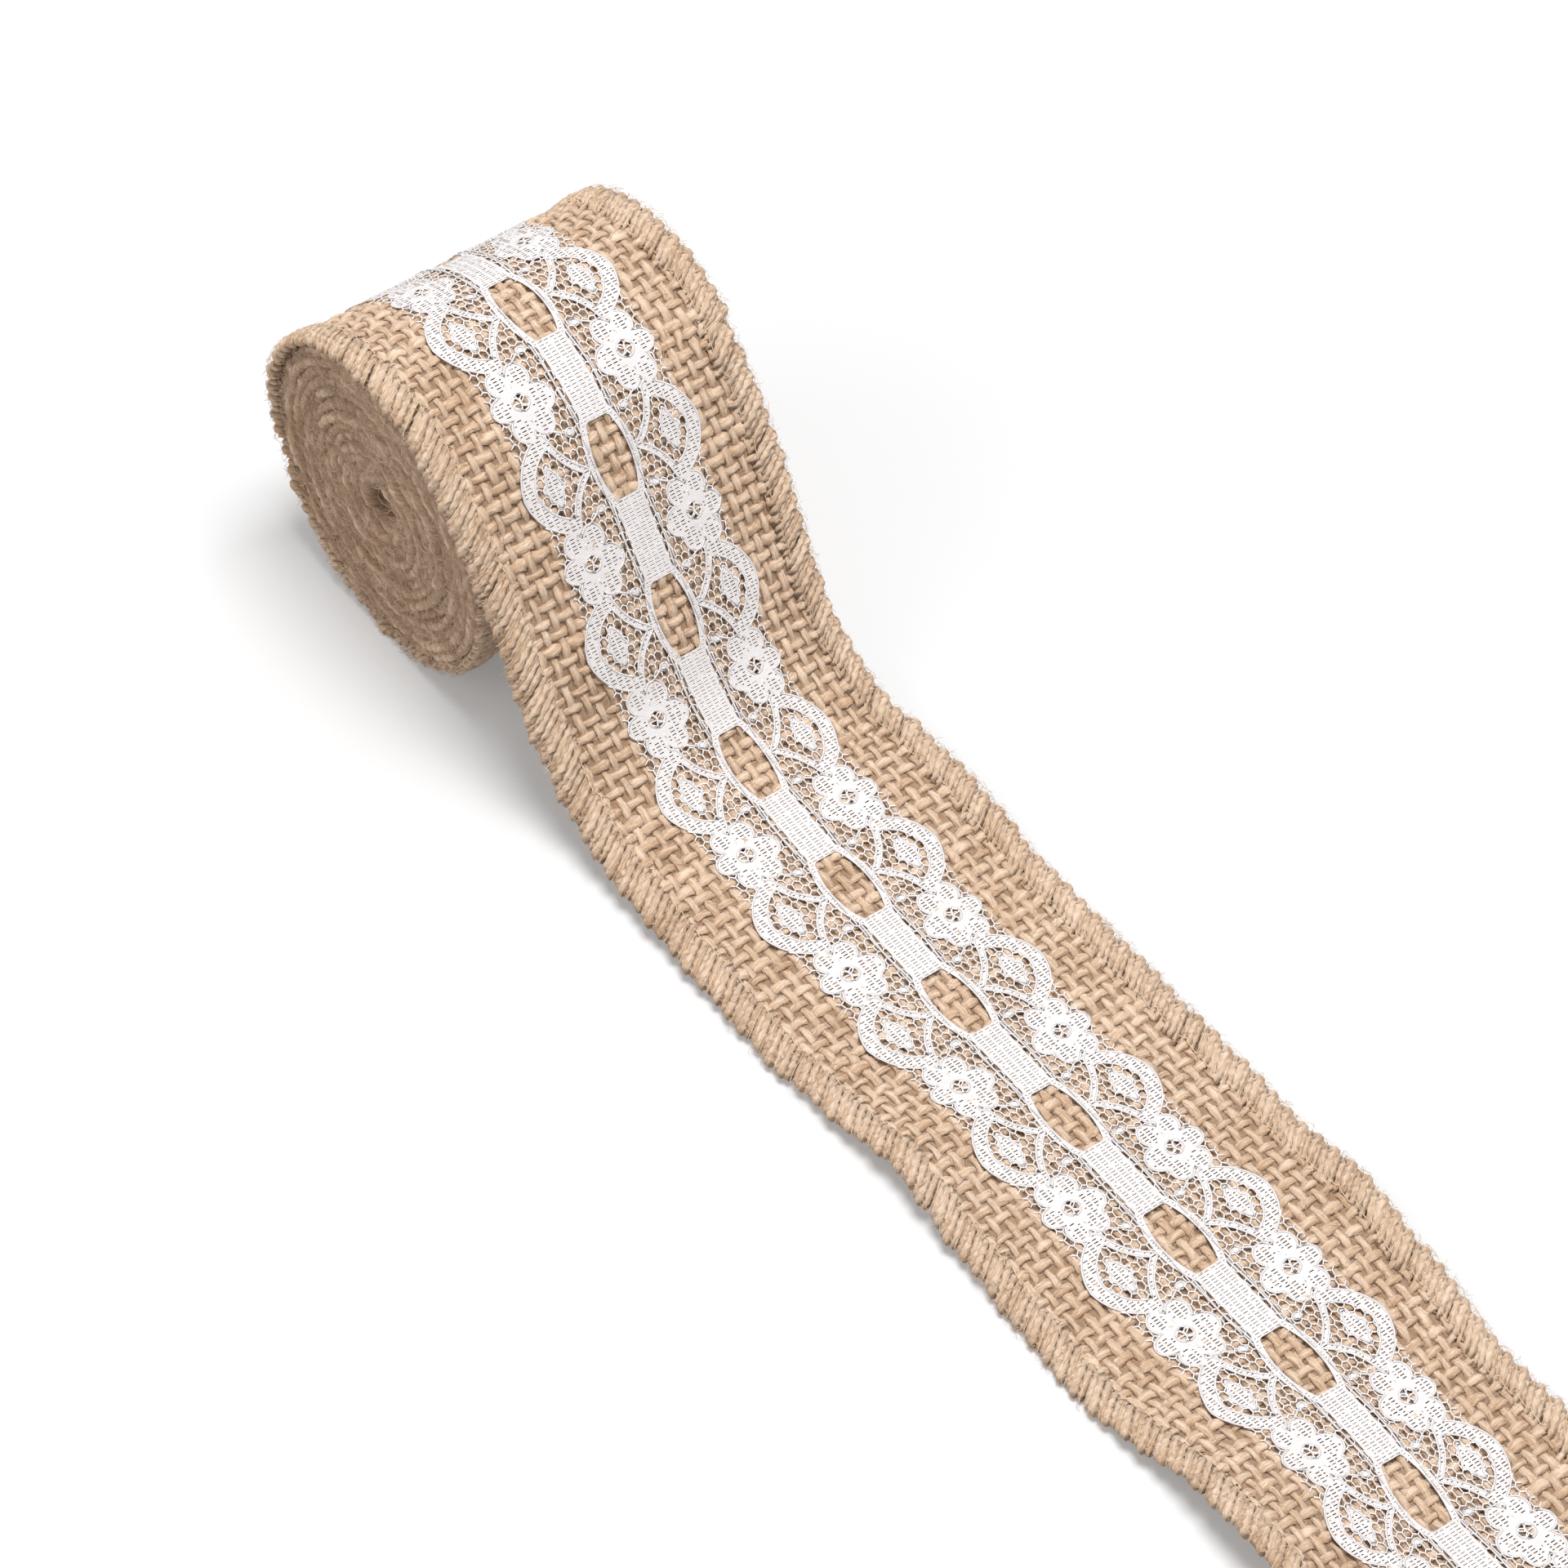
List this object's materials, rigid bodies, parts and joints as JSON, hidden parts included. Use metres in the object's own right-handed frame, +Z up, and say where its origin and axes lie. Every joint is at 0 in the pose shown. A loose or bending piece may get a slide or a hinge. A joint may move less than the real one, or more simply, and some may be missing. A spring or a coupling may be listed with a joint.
{
  "type": "table runner",
  "caption": "Narrow jute table runner strip with overlocked edges and a centred white lace band, wound into a coreless roll with its free end run out flat.",
  "frame": {"origin": "on the table, under the middle of the part's length and width", "axes": "+X along the unrolled tail and away from the roll, +Y across the strip towards its far edge, +Z up"},
  "size_m": [0.3565, 0.06, 0.062],
  "materials": {
    "jute": "coarse natural plain weave, matte and hairy",
    "overlock_thread": "loose slanted jute ends and thread, matte",
    "lace": "white knitted lace, slight sheen",
    "sewing_thread": "white spun thread, matte"
  },
  "bodies": {
    "root": {"jute_cloth": "jute", "near_edge_overlock": "overlock_thread", "far_edge_overlock": "overlock_thread", "lace_band": "lace", "near_row_needle_thread": "sewing_thread", "near_row_bobbin_thread": "sewing_thread", "far_row_needle_thread": "sewing_thread", "far_row_bobbin_thread": "sewing_thread"}
  },
  "joints": []
}
